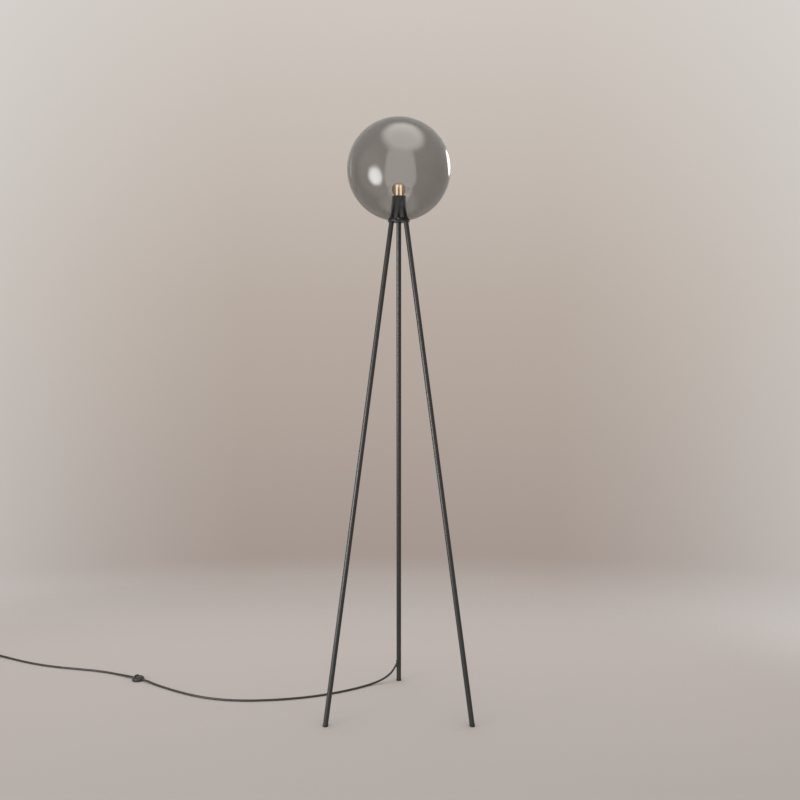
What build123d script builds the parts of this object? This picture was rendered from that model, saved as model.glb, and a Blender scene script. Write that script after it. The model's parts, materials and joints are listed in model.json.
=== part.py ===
from build123d import *
from math import atan2, ceil, cos, degrees, pi, radians, sin, sqrt, tan
import os

# Globe floor lamp: three straight tubular legs meet under a cast hub, a smoked glass globe is
# lowered over the hub and rests on its flange, and a small plug-in bulb stands in the hub's rim.
# The mains cord leaves the rear leg near its foot and carries an inline rocker switch.
#
# Millimetres. +Z is up, Z = 0 is the floor, and the origin is where the lamp's axis meets it.
# The front of the lamp looks along -Y: two legs stand in front, left and right, and one behind.

# ---- Driving dimensions ------------------------------------------------------------------
# Stance
hub_base_z = 1175.3  # underside of the hub above the floor
foot_circle_r = 196.0  # radius of the circle of the leg axes, at the floor
top_circle_r = 20.0  # radius of the same circle at the hub's underside
rear_azimuth = 90
leg_spacing = 120  # degrees from each leg to the next

# Leg tubes and their glides
leg_dia = 12.0
leg_wall = 1.0
glide_dia = 12.8
glide_height = 4.5
glide_plug_length = 12.0
glide_plug_chamfer = 1.0
glide_edge_r = 0.5
slip_gap = 0.05  # between a spigot or plug and the tube around it

# Cast hub
hub_height = 57.1  # from its underside to the top of the cone
flange_dia = 53.0
flange_thickness = 4.0
flange_edge_r = 1.0
collar_dia = 46.8  # foot of the hub's skirt, which centres the globe
collar_height = 1.2
skirt_top_dia = 38.4
skirt_height = 22.7  # from the top of the flange to where the straight cone starts
cone_top_dia = 32.8
hub_wall = 2.7
neck_dia = 30.0
neck_height = 5.0
spigot_length = 26.0
set_screw_dia = 4.0
set_screw_length = 3.0
set_screw_recess = 0.05  # of its outer end in the tube
set_screw_hex_r = 1.15
set_screw_drop = 13.0  # below the hub's underside
sheath_end_rise = 1.0  # of the cable's sheath above the floor of the hub's hollow
bore_overrun = 0.2  # of the cable's bore past the end of the sheath

# Rim ring on the hub's neck
rim_dia = 33.6
rim_height = 5.8
rim_mouth_dia = 26.0
rim_edge_r = 0.4
thread_gap = 0.1

# Globe and its gasket
globe_dia = 250.0
globe_wall = 6.0
globe_hole_dia = 48.4
globe_seat_dia = 53.0  # outside of the ring that is ground flat round the hole
gasket_thickness = 1.2
gasket_inset = 1.0  # from the flange's edge
gasket_gap = 0.1  # round the collar

# Lampholder and what carries it
post_dia = 8.0
post_screw_dia = 4.0
post_hole_gap = 0.2  # round the lower screw, in the hub
post_head_gap = 0.1  # round and above its countersunk head
post_screw_bite = 7.0  # length of its thread in the post
post_screw_hex = (1.4, 1.2)  # radius and depth
top_screw_head = (7.0, 1.8)  # diameter and height, on the bracket
top_screw_bite = 8.0
bracket_drop = 30.4  # from the top of the cone down to the bracket
bracket_thickness = 1.5
bracket_size = (23.0, 10.0)
bracket_corner_r = 2.0
bracket_hole_gap = 0.1
holder_dia = 23.2
holder_height = 16.0
holder_chamfer = 0.8
holder_recess = 2.4  # depth of the room for the top screw's head
holder_screw_dia = 3.0
holder_screw_spacing = 16.0
holder_screw_bite = 4.5
holder_screw_hole = 5.0  # depth
holder_screw_head = (5.1, 1.8)  # diameter and height
holder_screw_hex = (1.2, 1.0)  # radius and depth
pin_spacing = 9.0
pin_slot = (4.0, 3.2)
pin_slot_spare = 0.5  # depth of a slot past the pin's end
contact_width = 3.4
contact_thickness = 0.5
contact_length = 10.0
contact_inset = 1.0  # below the top of the lampholder

# Bulb
bulb_base_dia = 22.0
bulb_base_height = 15.0
bulb_base_chamfer = 0.8
bulb_ball_dia = 33.5
bulb_neck_dia = 23.6
bulb_glass = 2.4
bulb_glass_foot = 2.0  # depth of the neck in the base's groove
cement_gap = 0.6  # inside the neck
bulb_ball_rise = 19.9  # from the top of the base to the centre of the ball
bulb_pin_wire = 0.8
bulb_pin_length = 11.0
bulb_pin_hold = 1.0  # length of a pin inside the base
bulb_pin_width = 2.6
filament_size = (4.6, 1.2)
filament_height = 28.0
filament_spacing = 9.4
filament_rise = 3.0  # from the top of the base
filament_corner_r = 0.5
stem_dia = 4.4
stem_height = 9.0
stem_taper = 5.0
support_wire_dia = 0.8
support_wire_swing = 1.4  # of its two bends to each side
support_wire_bends = (7.0, 15.0)  # heights above the stem
support_wire_bend_r = 3.0
bridge_thickness = 0.8
bridge_bite = 0.6  # length of the wire in the bridge

# Mains cord
cord_dia = 5.2
core_dia = 2.1
core_entry = (5.5, 8.2)  # of each core from the lamp's axis, at the lampholder
core_entry_run = 8.0  # straight, below the lampholder
core_bite = 4.0  # length of each core in the lampholder
core_start = (1.26, -0.84)  # of each core from the cable's axis, at the end of the sheath
core_waist = (3.4, 13.2, 9.5)  # halfway: across, behind the axis, above the hollow's floor
core_bends = (2.5, 8.0, 5.0)
bend_z = 57.0  # where the cable turns off the rear leg's axis
bend_radius = 20.0
exit_azimuth = 199.0
exit_drop = 60.0  # degrees below level
exit_reach = 15.0  # from the leg's axis to the outer end of the grommet's bore
cable_gap = 0.3  # round the cable in the rear spigot
grommet_bore_gap = 0.1
grommet_dia = 8.2
grommet_lip_dia = 10.4
grommet_lip = 1.1
stop_height = 8.0
stop_z = 84.0
stop_gap = 0.2  # in the leg
stop_chamfer = 0.6
cord_lead = 16.0  # straight run of cord out of the grommet
bend_share = 0.45  # of the shorter run beside a corner of the route, taken up by its arc

# Inline switch
switch_centre = (-681.0, 195.0)
switch_azimuth = 149.0  # of the cord through it, from the leg towards the plug
switch_dia = 32.0
switch_seam_z = 4.6
switch_foot_r = 3.0
switch_seam_chamfer = 0.7
switch_wall = 1.5
cover_dia = 31.2
cover_shoulder_z = 5.8
cover_flat_dia = 21.6
cover_top_z = 10.2
cover_arc_r = 9.0
rocker_radius = 9.4
rocker_width = 11.0
rocker_gap = 0.35
rocker_dip = 2.3  # from the pivot up to the bottom of the V
rocker_ends = ((25, 5, -14), (194, 175, 155))  # degrees about the pivot: three points of each end
rocker_foot = (5.2, -31, 211)  # radius and the two directions of the underside's corners
rocker_rest_tilt = 10.0
pivot_z = 8.0
pivot_dia = 2.0
pivot_gap = 0.1
cheek_thickness = 1.6
cheek_length = 6.3
joint_overlap = 0.1  # of a post or cheek into the wall that it stands on
cheek_drop = 2.4
switch_grip = 4.5  # length of cord held inside the switch
switch_run_in = 31.0  # from its centre to where the cord starts down to the floor
switch_screw_dia = 2.0
switch_screw_offset = 10.8
switch_screw_bite = 3.5  # length of the screws' thread in the cover
switch_post_wall = 1.2
switch_screw_spare = 0.3  # depth of a post's hole past the screw's end
switch_screw_sink = 0.1  # of the head below the base's underside
switch_head_gap = 0.15
switch_screw_slot = (0.5, 0.6)  # width and depth
terminal_size = (4.5, 6.0, 2.4)
terminal_offset = 8.4
terminal_screw_dia = 2.0

# Coil, tie and plug
coil_centre = (-1172.0, 366.0)
coil_start_azimuth = 62.0
coil_inner_r = 23.0
coil_end_azimuth = 180.0
coil_turns_in = 2.0
coil_gap = 0.5  # between neighbouring turns
coil_run_in = 40.0  # straight run of cord into the coil
tie_thickness = 0.8
tie_width = 8.0
tie_corner_r = 1.6  # inside
tie_slack = 0.6  # beside the bundle of turns
tie_lift = 0.2  # below and above it
tie_azimuth = 250.0
plug_z = 7.0
lead_stops = (7.5, 16.5, 24.0)  # from the coil, where the cord steps down to the plug and ends
plug_width = 26.0
plug_tail_width = 13.0
plug_thickness = 14.0
plug_length = 36.0
plug_tail_share = 0.45  # of the length, over which the body widens
plug_corner_r = 2.0
plug_edge_r = 2.5
plug_pin_dia = 4.0
plug_pin_length = 19.0
plug_sleeve_length = 10.0  # insulated part of each pin, next to the plug
plug_sleeve_dia = 3.6
plug_pin_core_dia = 3.0  # of each pin inside its sleeve and the plug
plug_pin_tip_r = 1.2
plug_pin_spacing = 18.6
plug_pin_hold = 8.0
relief_length = 28.0
relief_dia = 11.0
relief_tip_dia = 6.8
relief_slots = 5
relief_slot = (1.4, 0.7)  # width and depth

# ---- Worked out from the driving dimensions ------------------------------------------------
leg_azimuths = {
    "left": rear_azimuth + leg_spacing,
    "right": rear_azimuth - leg_spacing,
    "rear": rear_azimuth,
}
leg_bore = leg_dia - 2 * leg_wall
cord_r = cord_dia / 2
hub_top_z = hub_base_z + hub_height
flange_top_z = hub_base_z + flange_thickness
seat_z = flange_top_z + gasket_thickness
globe_r = globe_dia / 2
globe_centre_z = seat_z + sqrt(globe_r**2 - (globe_seat_dia / 2) ** 2)
bracket_z = hub_top_z - bracket_drop
holder_base_z = bracket_z + bracket_thickness
holder_top_z = holder_base_z + holder_height
bulb_base_top_z = holder_top_z + bulb_base_height
ball_centre_z = bulb_base_top_z + bulb_ball_rise
spigot_dia = leg_bore - 2 * slip_gap


def unit_from_angles(azimuth, elevation=0.0):
    """Unit vector from its azimuth about +Z and its elevation, both in degrees."""
    a, e = radians(azimuth), radians(elevation)
    return Vector(cos(e) * cos(a), cos(e) * sin(a), sin(e))


def leg_axis_point(azimuth, z):
    """Point of a leg's axis at height z."""
    radius = foot_circle_r + (top_circle_r - foot_circle_r) * z / hub_base_z
    return unit_from_angles(azimuth) * radius + Vector(0, 0, z)


def leg_plane(azimuth, z):
    """Plane square to a leg's axis at height z, with its normal up the leg."""
    low, high = leg_axis_point(azimuth, 0), leg_axis_point(azimuth, hub_base_z)
    return Plane(origin=leg_axis_point(azimuth, z), z_dir=high - low)


set_screw_root = leg_dia / 2 - set_screw_recess - set_screw_length
leg_tilt = degrees(atan2(foot_circle_r - top_circle_r, hub_base_z))


# ---- Routes ---------------------------------------------------------------------------------
def corner_radii(points):
    """Radius of each corner of a route, from the shorter run beside it and half its turn."""
    radii = []
    for before, here, after in zip(points, points[1:], points[2:]):
        into, out = Vector(here) - Vector(before), Vector(after) - Vector(here)
        half_turn = radians(into.get_angle(out)) / 2
        radii.append(bend_share * min(into.length, out.length) / tan(half_turn))
    return radii


def rings(builder, radius):
    """The circular edges of that radius."""
    circles = builder.edges().filter_by(GeomType.CIRCLE)
    return circles.filter_by(lambda edge: abs(edge.radius - radius) < 0.01)


def write_part(builder, name):
    """Label a finished sub-part and write it to its own STEP file."""
    builder.part.label = name
    export_step(builder.part, f"parts/{name}.step")


def write_tube(points, name):
    """Sweep the cord's section along runs joined by tangent arcs, and write it."""
    points = [Vector(p) for p in points]
    radii = corner_radii(points)
    with BuildPart() as tube:
        with BuildLine() as path:
            FilletPolyline(*points, radius=radii)
        with BuildSketch(Plane(origin=points[0], z_dir=points[1] - points[0])):
            Circle(cord_r)
        sweep(path=path.wire())
    write_part(tube, name)
    length = path.wire().length
    share = tube.part.volume / (pi * cord_r**2 * length)
    runs = [(b - a).length for a, b in zip(points, points[1:])]
    print(f"{name}: length {length:.1f}, volume over section times length {share:.4f}")
    print("  runs " + " ".join(f"{r:.0f}" for r in runs))
    print("  radii " + " ".join(f"{r:.0f}" for r in radii))
    return length


os.makedirs("parts", exist_ok=True)

# ---- Legs, glides and set screws ---------------------------------------------------------------
# The cable turns off the rear leg's axis and leaves through its left side, pointing at the floor.
cable_corner = leg_axis_point(rear_azimuth, bend_z)
exit_dir = unit_from_angles(exit_azimuth, -exit_drop)
exit_plane = Plane(origin=cable_corner, z_dir=exit_dir)
cord_exit = cable_corner + exit_dir * exit_reach


def screw_plane(azimuth):
    """Plane on a leg's axis, below the hub, with its normal towards the lamp's axis."""
    spot = leg_axis_point(azimuth, hub_base_z - set_screw_drop)
    along = leg_plane(azimuth, 0).z_dir
    inward = unit_from_angles(azimuth) * -1
    return Plane(origin=spot, z_dir=inward - along * inward.dot(along))


for side, azimuth in leg_azimuths.items():
    with BuildPart() as leg:
        with BuildSketch(leg_plane(azimuth, 0)):
            Circle(leg_dia / 2)
            Circle(leg_bore / 2, mode=Mode.SUBTRACT)
        extrude(amount=2 * hub_base_z)
        split(bisect_by=Plane.XY.offset(glide_height), keep=Keep.TOP)
        split(bisect_by=Plane.XY.offset(hub_base_z), keep=Keep.BOTTOM)
        with BuildSketch(screw_plane(azimuth)):
            Circle(set_screw_dia / 2)
        extrude(amount=leg_dia, mode=Mode.SUBTRACT)
        if side == "rear":
            with BuildSketch(exit_plane):
                Circle(grommet_dia / 2)
            extrude(amount=2 * exit_reach, mode=Mode.SUBTRACT)
    write_part(leg, f"leg_{side}")

    with BuildPart() as glide:
        with BuildSketch(leg_plane(azimuth, -glide_height)):
            Circle(glide_dia / 2)
        extrude(amount=3 * glide_height)
        split(bisect_by=Plane.XY, keep=Keep.TOP)
        split(bisect_by=Plane.XY.offset(glide_height), keep=Keep.BOTTOM)
        with BuildSketch(leg_plane(azimuth, glide_height / 2)):
            Circle(leg_bore / 2 - slip_gap)
        extrude(amount=glide_height / 2 + glide_plug_length)
        chamfer(glide.faces().sort_by(Axis.Z)[-1].edges(), glide_plug_chamfer)
        fillet(glide.faces().sort_by(Axis.Z)[0].edges(), glide_edge_r)
    write_part(glide, f"glide_{side}")

with BuildPart() as leg_screws:
    for azimuth in leg_azimuths.values():
        plane = screw_plane(azimuth)
        with BuildSketch(plane.offset(set_screw_root)):
            Circle(set_screw_dia / 2)
        extrude(amount=set_screw_length)
        with BuildSketch(plane.offset(set_screw_root + set_screw_length)):
            RegularPolygon(set_screw_hex_r, 6)
        extrude(amount=-set_screw_length / 2, mode=Mode.SUBTRACT)
write_part(leg_screws, "leg_screws")

# ---- Hub --------------------------------------------------------------------------------------
skirt_top_z = flange_top_z + skirt_height
floor_z = flange_top_z  # floor of the hub's hollow
cable_top_z = floor_z + sheath_end_rise
cone_slope = (skirt_top_dia - cone_top_dia) / 2 / (hub_top_z - skirt_top_z)

with BuildPart() as tripod_hub:
    with BuildSketch(Plane.XZ):
        with BuildLine():
            neck_r, cone_r, skirt_r = neck_dia / 2, cone_top_dia / 2, skirt_top_dia / 2
            collar = (collar_dia / 2, flange_top_z + collar_height)
            Polyline(
                (0, hub_base_z),
                (flange_dia / 2, hub_base_z),
                (flange_dia / 2, flange_top_z),
                (collar_dia / 2, flange_top_z),
                collar,
            )
            cone = Line((cone_r, hub_top_z), (skirt_r, skirt_top_z))
            TangentArc(cone @ 1, collar, tangent=cone % 1)
            Polyline(
                (cone_r, hub_top_z),
                (neck_r, hub_top_z),
                (neck_r, hub_top_z + neck_height),
                (0, hub_top_z + neck_height),
                (0, hub_base_z),
            )
        make_face()
    revolve(axis=Axis.Z)
    fillet(rings(tripod_hub, flange_dia / 2), flange_edge_r)
    # The hollow follows the outside at one wall, down to the floor.
    with BuildSketch(Plane.XZ):
        with BuildLine():
            Polyline(
                (0, floor_z),
                (collar_dia / 2 - hub_wall, floor_z),
                (skirt_top_dia / 2 - hub_wall, skirt_top_z),
                (cone_top_dia / 2 - hub_wall, hub_top_z),
                (cone_top_dia / 2 - hub_wall, hub_top_z + neck_height),
                (0, hub_top_z + neck_height),
                close=True,
            )
        make_face()
    revolve(axis=Axis.Z, mode=Mode.SUBTRACT)
    # One spigot for each leg, the rear one bored for the cable.
    for azimuth in leg_azimuths.values():
        with BuildSketch(leg_plane(azimuth, hub_base_z + flange_thickness / 2)):
            Circle(spigot_dia / 2)
        extrude(amount=-spigot_length - flange_thickness / 2)
        with BuildSketch(screw_plane(azimuth).offset(set_screw_root)):
            Circle(set_screw_dia / 2)
        extrude(amount=leg_dia, mode=Mode.SUBTRACT)
    with BuildSketch(leg_plane(rear_azimuth, cable_top_z + bore_overrun)):
        Circle(cord_r + cable_gap)
    extrude(amount=-2 * spigot_length, mode=Mode.SUBTRACT)
    with BuildSketch(Plane.XY.offset(hub_base_z)):
        Circle(post_screw_dia / 2 + post_hole_gap)
    extrude(amount=flange_thickness, mode=Mode.SUBTRACT)
    with BuildSketch(Plane.XY.offset(hub_base_z)):
        Circle(post_screw_dia)
    extrude(amount=post_screw_dia / 2, taper=45, mode=Mode.SUBTRACT)
write_part(tripod_hub, "tripod_hub")

with BuildPart() as rim_ring:
    with BuildSketch(Plane.XZ):
        with BuildLine():
            lip_z = hub_top_z + neck_height
            Polyline(
                (neck_dia / 2 + thread_gap, hub_top_z),
                (rim_dia / 2, hub_top_z),
                (rim_dia / 2, hub_top_z + rim_height),
                (rim_mouth_dia / 2, hub_top_z + rim_height),
                (rim_mouth_dia / 2, lip_z),
                (neck_dia / 2 + thread_gap, lip_z),
                close=True,
            )
        make_face()
    revolve(axis=Axis.Z)
    fillet(rings(rim_ring, rim_dia / 2), rim_edge_r)
write_part(rim_ring, "rim_ring")

with BuildPart() as shade_gasket:
    with BuildSketch(Plane.XY.offset(flange_top_z)):
        Circle(flange_dia / 2 - gasket_inset)
        Circle(collar_dia / 2 + gasket_gap, mode=Mode.SUBTRACT)
    extrude(amount=gasket_thickness)
write_part(shade_gasket, "shade_gasket")

# ---- Globe ------------------------------------------------------------------------------------
with BuildPart() as globe_shade:
    with Locations((0, 0, globe_centre_z)):
        Sphere(globe_r)
        Sphere(globe_r - globe_wall, mode=Mode.SUBTRACT)
    split(bisect_by=Plane.XY.offset(seat_z), keep=Keep.TOP)
    with BuildSketch(Plane.XY.offset(seat_z - globe_wall)):
        Circle(globe_hole_dia / 2)
    extrude(amount=globe_r / 2, mode=Mode.SUBTRACT)
write_part(globe_shade, "globe_shade")

# ---- Lampholder ---------------------------------------------------------------------------------
post_screw_head = post_screw_dia / 2
with BuildPart() as holder_post:
    with BuildSketch(Plane.XY.offset(floor_z)):
        RegularPolygon(post_dia / 2, 6, major_radius=False)
    extrude(amount=bracket_z - floor_z)
    with BuildSketch(Plane.XY.offset(floor_z)):
        Circle(post_screw_dia / 2)
    extrude(amount=bracket_z - floor_z, mode=Mode.SUBTRACT)
write_part(holder_post, "holder_post")

with BuildPart() as post_screws:
    # A countersunk screw from below, and a flat-headed one on top of the bracket.
    with BuildSketch(Plane.XY.offset(hub_base_z)):
        Circle(post_screw_dia - post_head_gap)
    extrude(amount=post_screw_head - post_head_gap, taper=45)
    with BuildSketch(Plane.XY.offset(hub_base_z)):
        Circle(post_screw_dia / 2)
    extrude(amount=flange_thickness + post_screw_bite)
    with BuildSketch(Plane.XY.offset(holder_base_z)):
        Circle(top_screw_head[0] / 2)
    extrude(amount=top_screw_head[1])
    with BuildSketch(Plane.XY.offset(holder_base_z)):
        Circle(post_screw_dia / 2)
    extrude(amount=-bracket_thickness - top_screw_bite)
    with BuildSketch(Plane.XY.offset(hub_base_z)):
        RegularPolygon(post_screw_hex[0], 6)
    extrude(amount=post_screw_hex[1], mode=Mode.SUBTRACT)
write_part(post_screws, "post_screws")

with BuildPart() as lampholder_bracket:
    with BuildSketch(Plane.XY.offset(bracket_z)):
        RectangleRounded(*bracket_size, bracket_corner_r)
        with Locations((-holder_screw_spacing / 2, 0), (holder_screw_spacing / 2, 0)):
            Circle(holder_screw_dia / 2 + bracket_hole_gap, mode=Mode.SUBTRACT)
        Circle(post_screw_dia / 2 + bracket_hole_gap, mode=Mode.SUBTRACT)
    extrude(amount=bracket_thickness)
write_part(lampholder_bracket, "lampholder_bracket")

with BuildPart() as lampholder:
    with BuildSketch(Plane.XY.offset(holder_base_z)):
        Circle(holder_dia / 2)
    extrude(amount=holder_height)
    chamfer(lampholder.faces().sort_by(Axis.Z)[-1].edges(), holder_chamfer)
    # Room for the bracket's screw head, the screws, the pins with their contacts and the cores.
    with BuildSketch(Plane.XY.offset(holder_base_z)):
        Circle(post_screw_dia)
    extrude(amount=holder_recess, mode=Mode.SUBTRACT)
    with BuildSketch(Plane.XY.offset(holder_base_z)):
        with Locations((-holder_screw_spacing / 2, 0), (holder_screw_spacing / 2, 0)):
            Circle(holder_screw_dia / 2)
    extrude(amount=holder_screw_hole, mode=Mode.SUBTRACT)
    with BuildSketch(Plane.XY.offset(holder_top_z)):
        with Locations((-pin_spacing / 2, 0), (pin_spacing / 2, 0)):
            Rectangle(*pin_slot)
    extrude(amount=-bulb_pin_length - pin_slot_spare, mode=Mode.SUBTRACT)
    with BuildSketch(Plane.XY.offset(holder_base_z)):
        with Locations((-core_entry[0], core_entry[1]), core_entry):
            Circle(core_dia / 2)
    extrude(amount=core_bite, mode=Mode.SUBTRACT)
write_part(lampholder, "lampholder")

with BuildPart() as lampholder_screws:
    for x in (-holder_screw_spacing / 2, holder_screw_spacing / 2):
        with BuildSketch(Plane.XY.offset(bracket_z)):
            with Locations((x, 0)):
                Circle(holder_screw_dia / 2)
        extrude(amount=bracket_thickness + holder_screw_bite)
        with BuildSketch(Plane.XY.offset(bracket_z)):
            with Locations((x, 0)):
                Circle(holder_screw_head[0] / 2)
        extrude(amount=-holder_screw_head[1])
        with BuildSketch(Plane.XY.offset(bracket_z - holder_screw_head[1])):
            with Locations((x, 0)):
                RegularPolygon(holder_screw_hex[0], 6)
        extrude(amount=holder_screw_hex[1], mode=Mode.SUBTRACT)
write_part(lampholder_screws, "lampholder_screws")

with BuildPart() as lampholder_contacts:
    contact_y = pin_slot[1] / 2 - contact_thickness / 2
    with BuildSketch(Plane.XY.offset(holder_top_z - contact_inset)):
        for x in (-pin_spacing / 2, pin_spacing / 2):
            with Locations((x, -contact_y), (x, contact_y)):
                Rectangle(contact_width, contact_thickness)
    extrude(amount=-contact_length)
write_part(lampholder_contacts, "lampholder_contacts")

# ---- Bulb ---------------------------------------------------------------------------------------
pin_mid_z = holder_top_z + bulb_pin_hold - bulb_pin_length / 2
pin_spots = [(-pin_spacing / 2, pin_mid_z), (pin_spacing / 2, pin_mid_z)]

with BuildPart() as bulb_base:
    with BuildSketch(Plane.XY.offset(holder_top_z)):
        Circle(bulb_base_dia / 2)
    extrude(amount=bulb_base_height)
    chamfer(bulb_base.faces().sort_by(Axis.Z)[0].edges(), bulb_base_chamfer)
    # Groove that the neck of the glass is cemented into.
    with BuildSketch(Plane.XY.offset(bulb_base_top_z - bulb_glass_foot)):
        Circle(bulb_base_dia / 2)
        Circle(bulb_neck_dia / 2 - bulb_glass - cement_gap, mode=Mode.SUBTRACT)
    extrude(amount=bulb_glass_foot, mode=Mode.SUBTRACT)
    # Slots that the wire loops of the pins are moulded into.
    with BuildSketch(Plane.XZ.offset(-bulb_pin_wire / 2)):
        with Locations(*pin_spots):
            SlotOverall(bulb_pin_length, bulb_pin_width, rotation=90)
    extrude(amount=bulb_pin_wire, mode=Mode.SUBTRACT)
write_part(bulb_base, "bulb_base")

with BuildPart() as bulb_pins:
    hollow_length, hollow_width = bulb_pin_length - 2 * bulb_pin_wire, bulb_pin_width - 2 * bulb_pin_wire
    with BuildSketch(Plane.XZ.offset(-bulb_pin_wire / 2)):
        with Locations(*pin_spots):
            SlotOverall(bulb_pin_length, bulb_pin_width, rotation=90)
            SlotOverall(hollow_length, hollow_width, rotation=90, mode=Mode.SUBTRACT)
    extrude(amount=bulb_pin_wire)
write_part(bulb_pins, "bulb_pins")


def glass_profile(shrink):
    """Half outline of the bulb's glass, moved in by shrink: a neck that runs into a ball."""
    ball_r, neck_r = bulb_ball_dia / 2 - shrink, bulb_neck_dia / 2 - shrink
    foot_z = bulb_base_top_z - bulb_glass_foot
    join_z = ball_centre_z - sqrt(ball_r**2 - neck_r**2)
    join_angle = degrees(atan2(join_z - ball_centre_z, neck_r))
    with BuildLine() as outline:
        Polyline((0, ball_centre_z + ball_r), (0, foot_z), (neck_r, foot_z), (neck_r, join_z))
        CenterArc((0, ball_centre_z), ball_r, join_angle, 90 - join_angle)
    return outline.line


with BuildPart() as bulb_envelope:
    with BuildSketch(Plane.XZ):
        add(make_face(glass_profile(0), mode=Mode.PRIVATE))
    revolve(axis=Axis.Z)
    with BuildSketch(Plane.XZ):
        add(make_face(glass_profile(bulb_glass), mode=Mode.PRIVATE))
    revolve(axis=Axis.Z, mode=Mode.SUBTRACT)
write_part(bulb_envelope, "bulb_envelope")

with BuildPart() as bulb_filaments:
    with BuildSketch(Plane.XY.offset(bulb_base_top_z + filament_rise)):
        with Locations((-filament_spacing / 2, 0), (filament_spacing / 2, 0)):
            RectangleRounded(*filament_size, filament_corner_r)
    extrude(amount=filament_height)
write_part(bulb_filaments, "bulb_filaments")

with BuildPart() as bulb_stem:
    # Glass stem between the filaments.
    with BuildSketch(Plane.XY.offset(bulb_base_top_z)):
        Circle(stem_dia / 2)
    extrude(amount=stem_height, taper=stem_taper)
write_part(bulb_stem, "bulb_stem")

bridge_z = bulb_base_top_z + filament_rise + filament_height
stem_top_z = bulb_base_top_z + stem_height
with BuildPart() as bulb_support_wire:
    with BuildLine() as wire_path:
        FilletPolyline(
            (0, 0, stem_top_z),
            (-support_wire_swing, 0, stem_top_z + support_wire_bends[0]),
            (support_wire_swing, 0, stem_top_z + support_wire_bends[1]),
            (0, 0, bridge_z + bridge_bite),
            radius=support_wire_bend_r,
        )
    with BuildSketch(Plane(origin=wire_path.wire() @ 0, z_dir=wire_path.wire() % 0)):
        Circle(support_wire_dia / 2)
    sweep(path=wire_path.wire())
    with BuildSketch(Plane.XY.offset(bridge_z)):
        RectangleRounded(filament_spacing + filament_size[0], filament_size[1], filament_corner_r)
    extrude(amount=bridge_thickness)
write_part(bulb_support_wire, "bulb_support_wire")

# ---- Cable inside the rear leg and hub -----------------------------------------------------------
cable_top = leg_axis_point(rear_azimuth, cable_top_z)
with BuildPart() as inner_cable:
    with BuildLine() as cable_path:
        FilletPolyline(cable_top, cable_corner, cord_exit, radius=bend_radius)
    with BuildSketch(Plane(origin=cable_top, z_dir=cable_corner - cable_top)):
        Circle(cord_r)
    sweep(path=cable_path.wire())
write_part(inner_cable, "inner_cable")

for side, name in ((-1, "live_core"), (1, "neutral_core")):
    with BuildPart() as core:
        start = cable_top + Vector(side * core_start[0], core_start[1], 0)
        with BuildLine() as core_path:
            FilletPolyline(
                start,
                start + leg_plane(rear_azimuth, 0).z_dir * core_dia,
                Vector(side * core_waist[0], core_waist[1], floor_z + core_waist[2]),
                Vector(side * core_entry[0], core_entry[1], holder_base_z - core_entry_run),
                Vector(side * core_entry[0], core_entry[1], holder_base_z + core_bite),
                radius=core_bends,
            )
        with BuildSketch(Plane(origin=start, z_dir=core_path.wire() % 0)):
            Circle(core_dia / 2)
        sweep(path=core_path.wire())
    write_part(core, name)

with BuildPart() as cable_stop:
    # Nylon collar pressed on the cable above the grommet: it takes a pull on the cord.
    with BuildSketch(leg_plane(rear_azimuth, stop_z)):
        Circle(leg_bore / 2 - stop_gap)
        Circle(cord_r, mode=Mode.SUBTRACT)
    extrude(amount=stop_height)
    chamfer(rings(cable_stop, leg_bore / 2 - stop_gap), stop_chamfer)
write_part(cable_stop, "cable_stop")


def oblique_collar(inner_r, outer_r, dia):
    """What a cylinder along the cord's exit has between two radii around the leg's axis."""
    with BuildPart() as collar_part:
        with BuildSketch(exit_plane):
            Circle(dia / 2)
        extrude(amount=2 * exit_reach)
        with BuildSketch(leg_plane(rear_azimuth, 0)):
            Circle(outer_r)
            Circle(inner_r, mode=Mode.SUBTRACT)
        extrude(amount=2 * bend_z, mode=Mode.INTERSECT)
    return collar_part.part


collar_sleeve = oblique_collar(leg_bore / 2, leg_dia / 2, grommet_dia)
collar_lip = oblique_collar(leg_dia / 2, leg_dia / 2 + grommet_lip, grommet_lip_dia)
with BuildPart() as cable_grommet:
    add(collar_sleeve)
    add(collar_lip)
    with BuildSketch(exit_plane):
        Circle(cord_r + grommet_bore_gap)
    extrude(amount=2 * exit_reach, mode=Mode.SUBTRACT)
write_part(cable_grommet, "cable_grommet")

# ---- Inline switch --------------------------------------------------------------------------------
switch_along = unit_from_angles(switch_azimuth)
switch_origin = Vector(*switch_centre, 0)
switch_plane = Plane(origin=switch_origin, x_dir=switch_along, z_dir=(0, 0, 1))
switch_side = Plane(origin=switch_origin, x_dir=switch_along, z_dir=switch_plane.y_dir * -1)
switch_axis = Axis(switch_origin, (0, 0, 1))
cord_hole_plane = Plane(origin=switch_origin + Vector(0, 0, switch_seam_z), z_dir=switch_along)
switch_r, cover_r = switch_dia / 2, cover_dia / 2
cord_end_offset = switch_r - switch_grip
window = 2 * (rocker_radius + rocker_gap)
cheek_y = rocker_width / 2 + rocker_gap
screw_spots = [(0, -switch_screw_offset), (0, switch_screw_offset)]
screw_post_r = switch_screw_dia / 2 + switch_post_wall

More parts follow.
